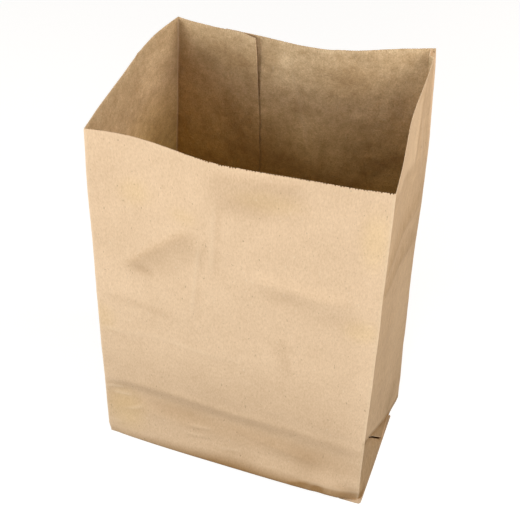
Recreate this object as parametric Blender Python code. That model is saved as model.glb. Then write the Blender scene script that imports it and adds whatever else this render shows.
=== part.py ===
"""Brown paper lunch bag standing open, one folded sheet of kraft paper.

Metres, +Z up. The front panel faces -Y and the bag stands on its folded bottom.
Places along a panel are shares of its width, from left to right of a person facing it from outside.
"""
import math

import bmesh
import bpy
from mathutils import Vector

# Folding pattern
bag_width = 0.136
bag_depth = 0.080
bag_height = 0.214
paper = 0.0003
seam_lap = 0.020
seam_inset = 0.0275
bottom_lap = 0.0174

# How far each rim corner stands from straight above its foot
front_left_lean = Vector((0.0016, 0.0019, 0.0))
front_right_lean = Vector((0.0002, 0.0123, -0.0029))
back_left_lean = Vector((0.0070, 0.0041, 0.0014))
back_right_lean = Vector((-0.0074, 0.0252, 0.0062))

# How far each foot corner stands from the corner of the full width and depth
front_left_inset = Vector((-0.0010, 0.0, 0.0))
front_right_inset = Vector((-0.0007, -0.0006, 0.0))
back_left_inset = Vector((0.0052, 0.0, 0.0))
back_right_inset = Vector((0.0010, -0.0089, 0.0))

# Outward waves of the rim and of the front foot, as one, two, three and four half waves
front_waves = (0.0031, -0.0011, -0.0012, -0.0007)
foot_waves = (0.0014, 0.0, 0.00015)
right_waves = (-0.0021, 0.0008, 0.0)
back_waves = (-0.0088, -0.00125, 0.00035, 0.00055)
left_waves = (0.0033, 0.0011, 0.0004)

# Outward bulge of two upright folds, and the share of the height from which it starts
left_edge_bulge = (-0.00055, 0.0)
right_edge_bulge = (0.0014, 0.48)

# The back right fold stays pinched flat near the rim
pinch_width = 0.0021
pinch_gap = 0.0032
pinch_reach = 0.35

# Crease across the front panel, as places and heights, and the hollow below it
front_crease = [(0.0, 0.043), (0.07, 0.0465), (0.22, 0.047), (0.44, 0.0452), (0.74, 0.0445), (1.0, 0.0405)]
crease_strength = [(0.0, 0.6), (0.13, 1.0), (0.59, 1.0), (0.81, 0.5), (1.0, 0.3)]
crease_dip = 0.0015
dip_height = 0.0095
dip_return = 0.015

# Valley of the left gusset
gusset_valley = 0.0030

# The front wall's turn into the bottom, as places and radii, and its swell above the turn
front_turn = [(0.0, 0.0010), (0.29, 0.0016), (0.59, 0.0030), (1.0, 0.0036)]
turn_swell = 0.56
foot_reach = 0.022

# The ends of the front foot are tucked in
corner_tuck = 0.0029
tuck_reach = 0.017
left_tuck = 0.0009
left_tuck_reach = 0.006

# Pleat low on the right gusset, where the bottom did not open flat
pleat_start = 0.049
pleat_end = 0.0009
pleat_low = 0.0060
pleat_run = 0.823
pleat_bow = -0.0005
pleat_step = 0.0015
pleat_lean = 0.0006
pleat_gap = 0.0009
pleat_rise = 0.0012
slot_high = 0.0390
slot_foot = 0.0042
slot_start = 0.121
slot_run = 0.560
slot_fade = 0.20

# How far in the foot of the right gusset runs
right_foot = [
    (0.0, 0.0),
    (0.035, -0.0013),
    (0.17, -0.00115),
    (0.35, -0.0008),
    (0.56, -0.00025),
    (0.61, 0.0),
    (0.78, 0.0013),
    (0.86, 0.0010),
    (0.96, 0.0001),
    (1.0, 0.0),
]

# Outer bottom flap where it stands out at the front right foot
lip_run = 0.011
lip_front = 0.0005
lip_side = 0.0016
lip_corner = 0.0022

# Cut teeth of the rim
tooth_pitch = 0.0012
tooth_depth = 0.0003

# Grid of the panels, and the heights of its lowest rows
wide_cells = 18
deep_cells = 12
turn_row = (1, 0.0011)
swell_row = (2, 0.0036)
crease_row = 7
pleat_row = 10
rim_row = 28
edge_step = 0.0005
seam_step = 0.0002

half_depth = bag_depth / 2
foot_level = 2 * paper


def clear_scene():
    for item in list(bpy.data.objects):
        bpy.data.objects.remove(item, do_unlink=True)


def reading(value, points):
    """Straight-line reading of a list of (position, value) points."""
    for (a, fa), (b, fb) in zip(points, points[1:]):
        if value <= b:
            return fa + (fb - fa) * (value - a) / (b - a)
    return points[-1][1]


def ease(value):
    value = min(max(value, 0.0), 1.0)
    return value * value * (3 - 2 * value)


def waves(u, parts):
    return sum(part * math.sin((k + 1) * math.pi * u) for k, part in enumerate(parts))


class Corner:
    """One upright fold of the bag, from its foot to the rim."""

    def __init__(self, foot, lean, heights, bulge=(0.0, 0.0)):
        self.foot = foot + Vector((0, 0, foot_level))
        self.lean = lean
        self.heights = heights
        self.bulge, self.bulge_start = bulge

    def height(self, row):
        return reading(row, self.heights)

    def point(self, height):
        t = height / bag_height
        share = (t - self.bulge_start) / (1 - self.bulge_start)
        swell = self.bulge * math.sin(math.pi * min(max(share, 0.0), 1.0))
        return self.foot + self.lean * t + Vector((swell, 0, height))


def make_corners():
    x = bag_width / 2
    y = half_depth
    low = [(0, 0.0), turn_row, swell_row, (crease_row, half_depth)]
    rim = (rim_row, bag_height - foot_level - tooth_depth)
    lip = pleat_start - 2 * edge_step
    plain = low + [rim]
    front_right = low + [(pleat_row - 2, lip), (pleat_row, pleat_start), rim]
    back_right = [(0, 0.0), (pleat_row, pleat_low), rim]
    return (
        Corner(Vector((-x, -y, 0)) + front_left_inset, front_left_lean, plain, left_edge_bulge),
        Corner(Vector((x, -y, 0)) + front_right_inset, front_right_lean, front_right),
        Corner(Vector((x, y, 0)) + back_right_inset, back_right_lean, back_right, right_edge_bulge),
        Corner(Vector((-x, y, 0)) + back_left_inset, back_left_lean, plain),
    )


def flat_point(first, second, u, row):
    """Point on the flat panel between two corners, and its height share."""
    height = first.height(row) * (1 - u) + second.height(row) * u
    point = first.point(first.height(row)).lerp(second.point(second.height(row)), u)
    return point, height / bag_height


def crease_relief(u, height):
    """Depth of the hollow below the front crease."""
    below = reading(u, front_crease) - height
    if below < 0:
        return 0.0
    if below < dip_height:
        sink = ease(below / dip_height)
    else:
        sink = ease(1 - (below - dip_height) / dip_return)
    return crease_dip * sink * reading(u, crease_strength)


def front_foot(u, height):
    """How far the front wall stands out at its turn into the bottom."""
    radius = reading(u, front_turn)
    turn = 0.0
    if height < radius:
        turn = radius - math.sqrt(max(0.0, radius**2 - (radius - height) ** 2))
    return turn_swell * radius * ease(1 - height / foot_reach) - turn


def front_point(first, second, u, row):
    point, t = flat_point(first, second, u, row)
    inner = ease(min(u, 1 - u) * 2 * wide_cells / 3)
    lift = (reading(u, front_crease) - half_depth) * inner
    point.z += lift * reading(row, [(0, 0.0), (swell_row[0], 0.0), (crease_row, 1.0), (2 * crease_row, 0.0)])
    height = point.z - foot_level
    high = ease(height / bag_height)
    point.y -= waves(u, front_waves) * high + waves(u, foot_waves) * (1 - high)
    point.y -= (front_foot(u, height) - crease_relief(u, height)) * inner
    return point


def pleat_fold(u):
    """Height of the pleat's fold line across the right gusset."""
    share = min(u / pleat_run, 1.0)
    line = pleat_start + (pleat_end - pleat_start) * share
    return max(line + pleat_bow * math.sin(math.pi * share), pleat_low)


def pleat_profile(u, row, point, height):
    """Draws a point of the right gusset in to the pleat below its fold line."""
    fold = pleat_fold(u)
    slot = reading(u, [(0.0, pleat_start - 2 * edge_step), (slot_start, slot_high), (slot_run, slot_foot)])
    slot = min(slot, fold - 2 * edge_step)
    inside = ease(u / slot_start) * ease((pleat_run - u) / slot_start)
    open_slot = ease(2 * u / slot_start - 1) * ease((slot_run + slot_fade / 2 - u) / slot_fade)
    behind = pleat_rise * open_slot - edge_step * (1 - open_slot)
    deepest = pleat_lean * inside + pleat_gap * open_slot
    spots = {
        pleat_row: (0.0, fold),
        pleat_row - 1: (pleat_step * inside, fold - edge_step),
        pleat_row - 2: (pleat_lean * inside, slot),
        pleat_row - 3: (deepest, slot + behind),
    }
    if row in spots:
        inward, level = spots[row]
    else:
        share = row / (pleat_row - 3)
        inward = deepest * share**3
        level = (slot + behind) * share
    point.z += level - height
    point.x -= inward


def right_point(first, second, u, row):
    point, t = flat_point(first, second, u, row)
    point.x += waves(u, right_waves) * ease((t - 0.3) / 0.7)
    if (1 - u) * bag_depth < 1.5 * pinch_gap and u < 1:
        point.x -= pinch_width * ease(1 - (1 - t) / pinch_reach)
    if row > pleat_row:
        climb = min(1.0, (row - pleat_row) / 4.0)
        point.x -= 0.4 * gusset_valley * (1 - abs(2 * u - 1)) * climb * (1 - t)
        flat = pleat_start + (pleat_low - pleat_start) * u
        point.z += (pleat_fold(u) - flat) * max(0.0, 1 - (row - pleat_row) / 6.0)
    elif 0.0 < u < 1.0:
        pleat_profile(u, row, point, t * bag_height)
    point.x -= reading(u, right_foot) * ease(1 - (point.z - foot_level) / foot_reach)
    return point


def back_point(first, second, u, row):
    point, t = flat_point(first, second, u, row)
    point.y += waves(u, back_waves) * ease((t + 0.1) / 1.1)
    if (1 - u) * bag_width < seam_inset - seam_step / 2:
        point.y -= paper * min(1.0, (1 - u) * wide_cells)
    return point


def left_point(first, second, u, row):
    point, t = flat_point(first, second, u, row)
    across = abs(2 * u - 1)
    if t * bag_height <= bag_depth:
        valley = 1 - max(across, abs(1 - t * bag_height / half_depth))
    else:
        valley = 0.0
    upper = 0.5 * (1 - across) * (1 - t) * ease(t * bag_height / half_depth - 1)
    point.x -= waves(u, left_waves) * ease((t - 0.2) / 0.8)
    point.x += gusset_valley * max(valley, upper)
    return point


def seam_places():
    """Places along the back panel, from right to left."""
    lap_start = 1 - (seam_inset + seam_lap) / bag_width
    lap_end = 1 - seam_inset / bag_width
    step = seam_step / bag_width
    clear = 0.3 / wide_cells
    plain = [i / wide_cells for i in range(wide_cells + 1)]
    kept = [u for u in plain if abs(u - lap_start) > clear and abs(u - lap_end) > clear]
    doubled = (lap_start + step, lap_end)
    return sorted(kept + [lap_start, lap_start + step, lap_end, lap_end + step]), doubled


def make_columns(mesh):
    """Grid columns round the bag, and the columns of the doubled seam."""
    corners = make_corners()
    wide = [i / wide_cells for i in range(wide_cells + 1)]
    deep = [i / deep_cells for i in range(deep_cells + 1)]
    pinched = deep[:-1] + [1 - pinch_gap / bag_depth, 1.0]
    back, lap = seam_places()
    panels = ((wide, front_point), (pinched, right_point), (back, back_point), (deep, left_point))
    columns = []
    doubled = []
    for number, (places, shape) in enumerate(panels):
        first = corners[number]
        second = corners[(number + 1) % 4]
        for u in places[:-1]:
            column = [mesh.verts.new(shape(first, second, u, row)) for row in range(rim_row + 1)]
            columns.append(column)
            if number == 2 and lap[0] - 1e-6 <= u <= lap[1] + 1e-6:
                doubled.append(column)
    tuck_foot(columns, corners[0].foot, corners[1].foot)
    return columns, doubled


def tuck_foot(columns, left_foot, front_right_foot):
    """Draws the two ends of the front foot in."""
    for column in columns:
        for vert in column[:crease_row]:
            away = (vert.co - front_right_foot).length
            pull = corner_tuck * ease(1 - away / tuck_reach)
            away = (vert.co - left_foot).length
            pull_left = left_tuck * ease(1 - away / left_tuck_reach)
            vert.co.y += pull
            vert.co.x += pull_left - 0.15 * pull**2 / corner_tuck


def rim_teeth(mesh, start, end):
    """Cut teeth of the rim between the tops of two columns, and none at the narrow pinch."""
    count = round((end - start).length / tooth_pitch)
    if count < 4:
        return []
    teeth = []
    for i in range(count):
        if i:
            teeth.append(mesh.verts.new(start.lerp(end, i / count)))
        tip = start.lerp(end, (i + 0.5) / count)
        teeth.append(mesh.verts.new(tip + Vector((0, 0, tooth_depth))))
    return teeth


def make_panels(mesh, columns, doubled):
    """Panel faces, split along the creases of the left gusset, and the teeth inside the seam's lap."""
    left_start = len(columns) - deep_cells
    lap_teeth = []
    for i, column in enumerate(columns):
        following = columns[(i + 1) % len(columns)]
        for row in range(rim_row):
            a, b = column[row], following[row]
            c, d = following[row + 1], column[row + 1]
            if i >= left_start and row < 2 * crease_row:
                rising = (i - left_start < deep_cells // 2) == (row < crease_row)
                corners = ((a, b, c), (a, c, d)) if rising else ((a, b, d), (b, c, d))
                for trio in corners:
                    mesh.faces.new(trio)
            elif row < rim_row - 1:
                mesh.faces.new((a, b, c, d))
            else:
                teeth = rim_teeth(mesh, c.co, d.co)
                mesh.faces.new([a, b, c] + teeth + [d])
                if column in doubled and following in doubled:
                    lap_teeth.extend(teeth)
    return lap_teeth


def make_foot(mesh, columns):
    """Bottom face between the foot lines of the panels."""
    foot = [column[0] for column in columns]
    edges = [mesh.edges.get(pair) for pair in zip(foot, foot[1:] + foot[:1])]
    made = bmesh.ops.triangle_fill(mesh, edges=edges, use_beauty=True)["geom"]
    for face in made:
        if isinstance(face, bmesh.types.BMFace):
            face.normal_update()
            if face.normal.z > 0:
                face.normal_flip()


def new_object(name, mesh, material=None):
    data = bpy.data.meshes.new(name)
    mesh.to_mesh(data)
    mesh.free()
    made = bpy.data.objects.new(name, data)
    bpy.context.scene.collection.objects.link(made)
    if material:
        data.materials.append(material)
    return made


def make_paper():
    material = bpy.data.materials.new("kraft_paper")
    material.use_nodes = True
    shader = material.node_tree.nodes["Principled BSDF"]
    shader.inputs["Base Color"].default_value = (0.60, 0.40, 0.22, 1.0)
    shader.inputs["Roughness"].default_value = 0.85
    return material


def make_shell():
    """Four panels and the bottom, given the thickness of the paper, and the front foot's line."""
    mesh = bmesh.new()
    columns, doubled = make_columns(mesh)
    lap = make_panels(mesh, columns, doubled)
    for column in doubled:
        lap.extend(column[1:])
    mesh.verts.index_update()
    lap = [vert.index for vert in lap]
    make_foot(mesh, columns)
    front_line = [column[0].co.copy() for column in columns[:wide_cells]]
    shell = new_object("paper_bag", mesh, make_paper())
    group = shell.vertex_groups.new(name="seam")
    group.add(lap, 1.0, "REPLACE")
    sheet = shell.modifiers.new("sheet", "SOLIDIFY")
    sheet.thickness = 2 * paper
    sheet.offset = -1.0
    sheet.solidify_mode = "NON_MANIFOLD"
    sheet.nonmanifold_thickness_mode = "CONSTRAINTS"
    sheet.nonmanifold_boundary_mode = "NONE"
    sheet.vertex_group = "seam"
    sheet.thickness_vertex_group = 0.5
    shell.modifiers.new("facets", "TRIANGULATE")
    return shell, front_line


def make_plate(name, outline, low, high):
    """Flat sheet piece over an outline, between two levels."""
    mesh = bmesh.new()
    verts = [mesh.verts.new((x, y, low)) for x, y in outline]
    face = mesh.faces.new(verts)
    raised = bmesh.ops.extrude_face_region(mesh, geom=[face])["geom"]
    for item in raised:
        if isinstance(item, bmesh.types.BMVert):
            item.co.z = high
    bmesh.ops.recalc_face_normals(mesh, faces=mesh.faces)
    return new_object(name, mesh)


def make_bottom_flaps(front_line):
    """Folded bottom: the outer flap with its raw edge, over the inner flap."""
    front_left, front_right, back_right, back_left = [corner.foot for corner in make_corners()]
    proud = paper / 3
    raw = bottom_lap
    left = reading(raw, [(front_left.y, front_left.x), (back_left.y, back_left.x)]) - proud
    right = front_right.x + lip_side
    front = front_right.y - lip_front
    lip = right - lip_run
    left_corner = front_line[0]
    middles = [(a + b) / 2 for a, b in zip(front_line, front_line[1:])]
    outer = [(left_corner.x - proud, left_corner.y - proud)]
    outer += [(point.x, point.y - proud) for point in middles if point.x < lip]
    outer += [
        (lip, front),
        (right - lip_corner, front),
        (right - 0.3 * lip_corner, front + 0.3 * lip_corner),
        (right, front + lip_corner),
        (right, raw),
        (left, raw),
    ]
    under = raw - 0.006
    inner = [
        (back_left.x + back_left.y - under, under),
        (back_right.x + under - back_right.y, under),
        (back_right.x, back_right.y + proud),
        (back_left.x, back_left.y + proud),
    ]
    top = foot_level + paper / 2
    return [make_plate("outer_flap", outer, 0.0, top), make_plate("inner_flap", inner, paper, top)]


def join_pieces(shell, pieces):
    for piece in pieces:
        piece.hide_render = True
        piece.display_type = "WIRE"
        union = shell.modifiers.new(piece.name, "BOOLEAN")
        union.operation = "UNION"
        union.solver = "EXACT"
        union.object = piece


def centre(objects):
    """Moves the bag so that its outline is centred over the origin."""
    points = [vert.co for item in objects for vert in item.data.vertices]
    x = (min(p.x for p in points) + max(p.x for p in points)) / 2
    y = (min(p.y for p in points) + max(p.y for p in points)) / 2
    for item in objects:
        for vert in item.data.vertices:
            vert.co.x -= x
            vert.co.y -= y


clear_scene()
bag, front_line = make_shell()
flaps = make_bottom_flaps(front_line)
centre([bag] + flaps)
join_pieces(bag, flaps)
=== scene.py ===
"""Looks of an open brown paper lunch bag: the folded sheet, its kraft paper, the light and the camera.

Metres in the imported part's frame, with that part's folding pattern and the pose of its corners.
"""

import math

import bmesh
import bpy
from mathutils import Matrix, Vector, noise


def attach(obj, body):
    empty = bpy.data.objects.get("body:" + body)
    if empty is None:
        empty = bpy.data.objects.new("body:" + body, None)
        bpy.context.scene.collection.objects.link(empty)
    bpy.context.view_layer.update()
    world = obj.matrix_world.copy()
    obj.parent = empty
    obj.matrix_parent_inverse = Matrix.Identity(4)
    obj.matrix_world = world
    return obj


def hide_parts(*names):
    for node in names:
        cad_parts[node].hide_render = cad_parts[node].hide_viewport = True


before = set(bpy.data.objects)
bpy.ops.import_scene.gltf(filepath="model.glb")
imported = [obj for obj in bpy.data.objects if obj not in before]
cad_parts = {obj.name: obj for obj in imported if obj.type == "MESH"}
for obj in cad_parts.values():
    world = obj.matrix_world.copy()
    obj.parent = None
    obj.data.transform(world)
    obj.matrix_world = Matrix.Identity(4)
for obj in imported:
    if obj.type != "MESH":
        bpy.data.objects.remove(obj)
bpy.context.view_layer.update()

mm = 0.001

# Folding pattern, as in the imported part
bag_width = 136 * mm
bag_depth = 80 * mm
bag_height = 214 * mm
paper = 0.3 * mm
seam_lap = 20 * mm
seam_inset = 27.5 * mm
bottom_lap = 17.4 * mm
half_depth = bag_depth / 2
foot_level = 2 * paper

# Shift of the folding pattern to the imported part, which is centred over the origin
centre_shift = Vector((0.005, -6.554, 0)) * mm

# How far each rim corner stands from straight above its foot, and each foot from the folding pattern's
front_left_lean = Vector((1.6, 1.9, 0.0)) * mm
front_right_lean = Vector((0.2, 12.3, -2.9)) * mm
back_left_lean = Vector((7.0, 4.1, 1.4)) * mm
back_right_lean = Vector((-7.4, 25.2, 6.2)) * mm
front_left_inset = Vector((-1.0, 0.0, 0.0)) * mm
front_right_inset = Vector((-0.7, -0.6, 0.0)) * mm
back_left_inset = Vector((5.2, 0.0, 0.0)) * mm
back_right_inset = Vector((1.0, -8.9, 0.0)) * mm

# Outward waves of the walls and of the front foot, as one, two, three and four half waves along a panel
front_waves = (3.1 * mm, -1.1 * mm, -1.2 * mm, -0.7 * mm)
foot_waves = (1.4 * mm, 0.0, 0.15 * mm)
right_waves = (-1.3 * mm, -0.1 * mm, 0.45 * mm)
back_waves = (-8.8 * mm, -1.25 * mm, 0.35 * mm, 0.55 * mm)
left_waves = (3.3 * mm, 1.1 * mm, 0.4 * mm)

# Share of the height from which the waves of a wall grow
right_waves_start = 0.3
back_waves_start = -0.1
left_waves_start = 0.2

# Outward bulge of two upright folds, and the share of the height from which it starts
left_edge_bulge = (-0.55 * mm, 0.0)
right_edge_bulge = (1.4 * mm, 0.48)

# The back right fold stays pinched flat near the rim
pinch_width = 2.1 * mm
pinch_gap = 3.2 * mm
pinch_span = 1.5 * pinch_gap
pinch_reach = 0.35

# Valley of a gusset, and its share high on the left and on the right gusset
gusset_valley = 3.0 * mm
left_valley_share = 0.5
right_valley_share = 0.4
right_valley_climb = 40 * mm

# How the two ends of the front foot are tucked in
corner_tuck = 1.6 * mm
corner_slide = 0.45
tuck_reach = 11 * mm
left_tuck = 0.9 * mm
left_tuck_reach = 6 * mm

# Turn of the walls into the bottom
front_turn = [(0, 1.0 * mm), (40 * mm, 1.6 * mm), (80 * mm, 3.0 * mm), (bag_width, 3.6 * mm)]
turn_swell = 0.56
foot_reach = 22 * mm
side_turn = 0.4 * mm
foot_fade = 12 * mm

# The pleat low on the right gusset: its fold line falls to the foot, and a second ply shows below it
fold_start = 49 * mm
fold_end = 0.9 * mm
fold_run = 59 * mm
fold_bow = -0.5 * mm
fold_calm = 8 * mm
ply_step = 1.5 * mm
ply_step_start = 9 * mm
ply_step_end = 6 * mm
ply_step_past = 2 * mm
ply_lip = 0.4
ply_lip_end = 16 * mm
least_ply = 0.25 * mm

# The slot between the plies: its upper line, where it is open, and how far its ends take to open
slot_line = [(0, 48 * mm), (8.7 * mm, 42 * mm), (42 * mm, 0.6 * mm), (bag_depth, 0.6 * mm)]
slot_open = (8.8 * mm, 41.5 * mm)
slot_ends = (0.8 * mm, 1.5 * mm)
slot_gap = 1.6 * mm
slot_depth = 8 * mm
slot_step = 0.9 * mm
slot_step_start = 8 * mm
closed_gap = 0.08 * mm

# How far in the foot of the right gusset runs, across it
right_foot = [
    (0, 0.0),
    (2.5 * mm, -1.3 * mm),
    (12 * mm, -1.15 * mm),
    (25 * mm, -0.8 * mm),
    (40 * mm, -0.25 * mm),
    (44 * mm, 0.05 * mm),
    (56 * mm, 1.3 * mm),
    (62 * mm, 1.0 * mm),
    (65.5 * mm, 0.55 * mm),
    (69 * mm, 0.1 * mm),
    (bag_depth, 0.0),
]

# Rows up the sheet: the half-depth crease, the slot's lip, the pleat's fold line and the rim
crease_row = 6
lip_row = 7
pleat_row = 9
rim_row = 27

# Grid lines: those at the foot, then so many to a row below the crease and above it
foot_rows = (0.0, 0.04, 0.09, 0.16)
low_parts = 6
low_lines_start = 2
high_parts = 4

# Cut teeth of the raw edges, and how uneven they are
tooth_pitch = 1.2 * mm
tooth_depth = 0.6 * mm
tooth_noise_scale = 900
tooth_mean = 0.75
tooth_spread = 0.9

# Share of the teeth's depth along the rim, and how it grows towards the right of the front
rim_tooth_share = 0.4
front_tooth_gain = 0.9
front_tooth_start = 0.3
front_tooth_run = 0.15

# How far from a fold a panel's marks reach their full depth, and how far up a foot is lowered
fold_margin = 4 * mm
lowered_reach = 4 * mm


def reading(value, points):
    """Straight-line reading of a list of (position, value) points."""
    for (a, fa), (b, fb) in zip(points, points[1:]):
        if value <= b:
            return fa + (fb - fa) * (value - a) / (b - a)
    return points[-1][1]


def clamped(value):
    """Value held between nought and one."""
    return min(max(value, 0.0), 1.0)


def ease(value):
    """Smooth step from nought to one."""
    value = clamped(value)
    return value * value * (3 - 2 * value)


def near(distance, reach):
    """One at no distance, falling evenly to nought at the reach."""
    return max(0.0, 1 - abs(distance) / reach)


def grown(height, start):
    """How far the waves of a wall have grown at a height."""
    return ease((height / bag_height - start) / (1 - start))


def waves(u, parts):
    """Sum of the half waves of a panel at a share of its width."""
    return sum(part * math.sin((k + 1) * math.pi * u) for k, part in enumerate(parts))


class Corner:
    """One upright fold of the bag, from its foot to the rim."""

    def __init__(self, foot, lean, heights, bulge=(0.0, 0.0)):
        self.foot = foot + Vector((0, 0, foot_level))
        self.lean = lean
        self.heights = heights
        self.bulge, self.bulge_start = bulge

    def height(self, row):
        return reading(row, self.heights)

    def point(self, height):
        t = height / bag_height
        share = (t - self.bulge_start) / (1 - self.bulge_start)
        swell = self.bulge * math.sin(math.pi * clamped(share))
        return self.foot + self.lean * t + Vector((swell, 0, height))


def make_corners():
    """The four upright folds by name, each with the heights that its rows have."""
    x = bag_width / 2
    y = half_depth
    foot = (0, 0.0)
    rim = (rim_row, bag_height - foot_level)
    lip = slot_line[0][1]
    plain = [foot, (crease_row, half_depth), rim]
    slotted = [foot, (crease_row, lip - closed_gap), (lip_row, lip), (pleat_row, fold_start), rim]
    pleated = [foot, (pleat_row, fold_end), rim]
    front_left = Vector((-x, -y, 0)) + front_left_inset
    front_right = Vector((x, -y, 0)) + front_right_inset
    back_right = Vector((x, y, 0)) + back_right_inset
    back_left = Vector((-x, y, 0)) + back_left_inset
    return {
        "front_left": Corner(front_left, front_left_lean, plain, left_edge_bulge),
        "front_right": Corner(front_right, front_right_lean, slotted),
        "back_right": Corner(back_right, back_right_lean, pleated, right_edge_bulge),
        "back_left": Corner(back_left, back_left_lean, plain),
    }


class Crease:
    """Fold mark on a panel: a ridge or a valley along a line, with its own reach on either side."""

    end_fade = 0.22
    rub_and_highlight_reach = 1.7 * mm
    shade_above = 0.2

    def __init__(self, start, end, rise, above, below, wear_and_highlight=0.0, shade=0.0):
        self.start = Vector(start) * mm
        run = Vector(end) * mm - self.start
        self.length = run.length
        self.along = run.normalized()
        self.side = Vector((-self.along.y, self.along.x))
        self.rise = rise * mm
        self.above = above * mm
        self.below = below * mm
        self.wear_and_highlight = wear_and_highlight
        self.shade = shade

    def place(self, across, height):
        """Fading towards the ends of the line, and signed distance from it."""
        away = Vector((across, height)) - self.start
        share = away.dot(self.along) / self.length
        fade = ease(share / self.end_fade) * ease((1 - share) / self.end_fade)
        return fade, away.dot(self.side)

    def relief(self, across, height):
        fade, distance = self.place(across, height)
        reach = self.above if distance > 0 else self.below
        return self.rise * fade * near(distance, reach) ** 2

    def rubbed_and_lit(self, across, height):
        fade, distance = self.place(across, height)
        return self.wear_and_highlight * fade * near(distance, self.rub_and_highlight_reach)

    # Painted shade beside the crease line, reaching a short way on the side above it and far on the side
    # below
    def shaded(self, across, height):
        fade, distance = self.place(across, height)
        reach = self.shade_above * self.below if distance > 0 else self.below
        return self.shade * fade * near(distance, reach)


class Patch:
    """Mark that stands out, shows worn paper and painted highlight, and painted shade by its share of a
    place.
    """

    rise = 0.0
    wear_and_highlight = 0.0

    def relief(self, across, height):
        return self.rise * self.share(across, height)

    def rubbed_and_lit(self, across, height):
        return self.wear_and_highlight * self.share(across, height)

    def shaded(self, across, height):
        return self.shade * self.share(across, height)


class Swell(Patch):
    """Soft round bulge or hollow of a panel."""

    def __init__(self, centre, radii, rise, shade=0.0):
        self.centre = Vector(centre) * mm
        self.radii = Vector(radii) * mm
        self.rise = rise * mm
        self.shade = shade

    def share(self, across, height):
        x = (across - self.centre.x) / self.radii.x
        y = (height - self.centre.y) / self.radii.y
        return ease(1 - math.hypot(x, y))


class Spot(Swell):
    """Round spot of painted shade on a panel, painted light where its shade is below nought."""

    def __init__(self, centre, radii, shade):
        super().__init__(centre, radii, 0.0, shade)


class Facet(Patch):
    """Flat patch of a panel with crisp edges, its corners given anticlockwise: painted shade, painted light
    below nought, and painted highlight.
    """

    def __init__(self, corners, soft, shade, wear_and_highlight=0.0):
        self.points = [Vector(corner) * mm for corner in corners]
        self.soft = soft * mm
        self.shade = shade
        self.wear_and_highlight = wear_and_highlight

    def share(self, across, height):
        place = Vector((across, height))
        depth = 1.0
        for start, end in zip(self.points, self.points[1:] + self.points[:1]):
            along = (end - start).normalized()
            away = place - start
            depth = min(depth, along.x * away.y - along.y * away.x)
        return ease(depth / self.soft + 0.5)


# Marks of each panel in millimetres: across from the panel's first corner, and up
# Their shade is painted shade, painted light below nought; their rubbing is partly worn paper, partly
# painted highlight
front_marks = [
    Crease((12, 129), (52, 172), 0.9, 4, 17, 0.0, 0.26),
    Crease((74, 147), (126, 142), 0.9, 9, 24, 0.0, 0.05),
    Crease((50, 205), (102, 209), 0.6, 8, 26, 0.0, 0.18),
    Crease((48, 106), (53, 168), 0.45, 3, 4, 0.5, 0.12),
    Crease((58, 140), (60, 194), 0.4, 3, 5, 0.5, 0.12),
    Crease((-4, 84), (26, 85), 0.25, 1.5, 2.5, 0.5, 0.08),
    Crease((14, 88), (76, 86), 0.25, 1.5, 3, 0.4, 0.08),
    Crease((0, 110), (44, 106), 0.2, 2, 5, 0.0, 0.16),
    Crease((92, 114), (98, 84), 0.25, 3, 8, 0.0, 0.14),
    Crease((-3, 43), (9, 44), 0.3, 1.2, 1.2, 0.4),
    Crease((-3, 37.5), (10, 39.0), 0.35, 1.2, 1.6, 0.6),
    Crease((3, 33), (15, 34.5), 0.25, 1.2, 1.5, 0.6),
    Crease((11, 23), (21, 29), 0.3, 1.2, 2.5, 0.45),
    Crease((45, 24.5), (58, 26.5), 0.4, 1.4, 2.5, 0.5, 0.2),
    Crease((43, 17.5), (56, 19.5), 0.35, 1.4, 2.5, 0.35, 0.2),
    Crease((60, 14), (76, 17), 0.2, 1.5, 3.0, 0.3),
    Crease((118, 22), (62, 31), 0.3, 4, 9, 0.0, 0.05),
    Crease((-3, 10), (8, 11), 0.25, 1.2, 1.6, 0.4),
    Crease((98, 3), (112, 9), 0.4, 2, 5, 0.0, 0.3),
    Swell((24, 132), (9, 5), -0.3, 0.18),
    Swell((94, 139), (22, 9), -0.2, 0.13),
    Swell((116, 131), (18, 7), -0.1, 0.08),
    Spot((6, 116), (24, 40), -0.12),
    Swell((74, 192), (20, 12), -0.1, 0.14),
    Spot((108, 22), (14, 20), 0.16),
    Swell((115, 4), (5, 5), -0.5, 0.45),
    Swell((130, 8), (10, 10), -0.3, 0.2),
    Spot((71, 10), (18, 13), 0.16),
    Crease((100, 9), (146, 7), 0.25, 1.5, 6, 0.6, 0.26),
    Spot((40, 32), (22, 9), 0.12),
]
right_marks = [
    Crease((-6, 214), (54, 177), 0.6, 8, 7, 0.2, 0.14),
    Crease((49, 176), (60, 214), 0.5, 5, 7, 0.2, 0.14),
    Crease((59, 204), (65, 156), 0.5, 2.5, 2.5, 1.0, 0.2),
    Crease((84, 133), (-12, 169), 0.9, 8, 13, 0.2, 0.3),
    Crease((84, 109), (-12, 156), 0.8, 9, 13, 0.1, 0.3),
    Crease((6, 108), (70, 78), 0.5, 9, 12),
    Facet([(4, 208), (50, 179), (57, 208), (40, 216)], 1.5, -0.2, 0.35),
    Spot((60, 74), (32, 62), -0.16),
    Spot((58, 16), (26, 20), 0.24),
    Spot((3, 2), (9, 10), 0.55),
    Crease((10, 72), (66, 30), 0.5, 8, 12, 0.2),
]
back_marks = [
    Crease((20, 196), (52, 216), 0.5, 8, 10),
    Crease((60, 150), (72, 205), 0.45, 5, 7, 0.2, 0.1),
    Crease((30, 160), (22, 200), 0.4, 6, 6),
    Swell((40, 172), (16, 14), 0.5),
    Swell((92, 168), (14, 26), -0.4),
    Swell((112, 188), (12, 22), 0.4),
]
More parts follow.
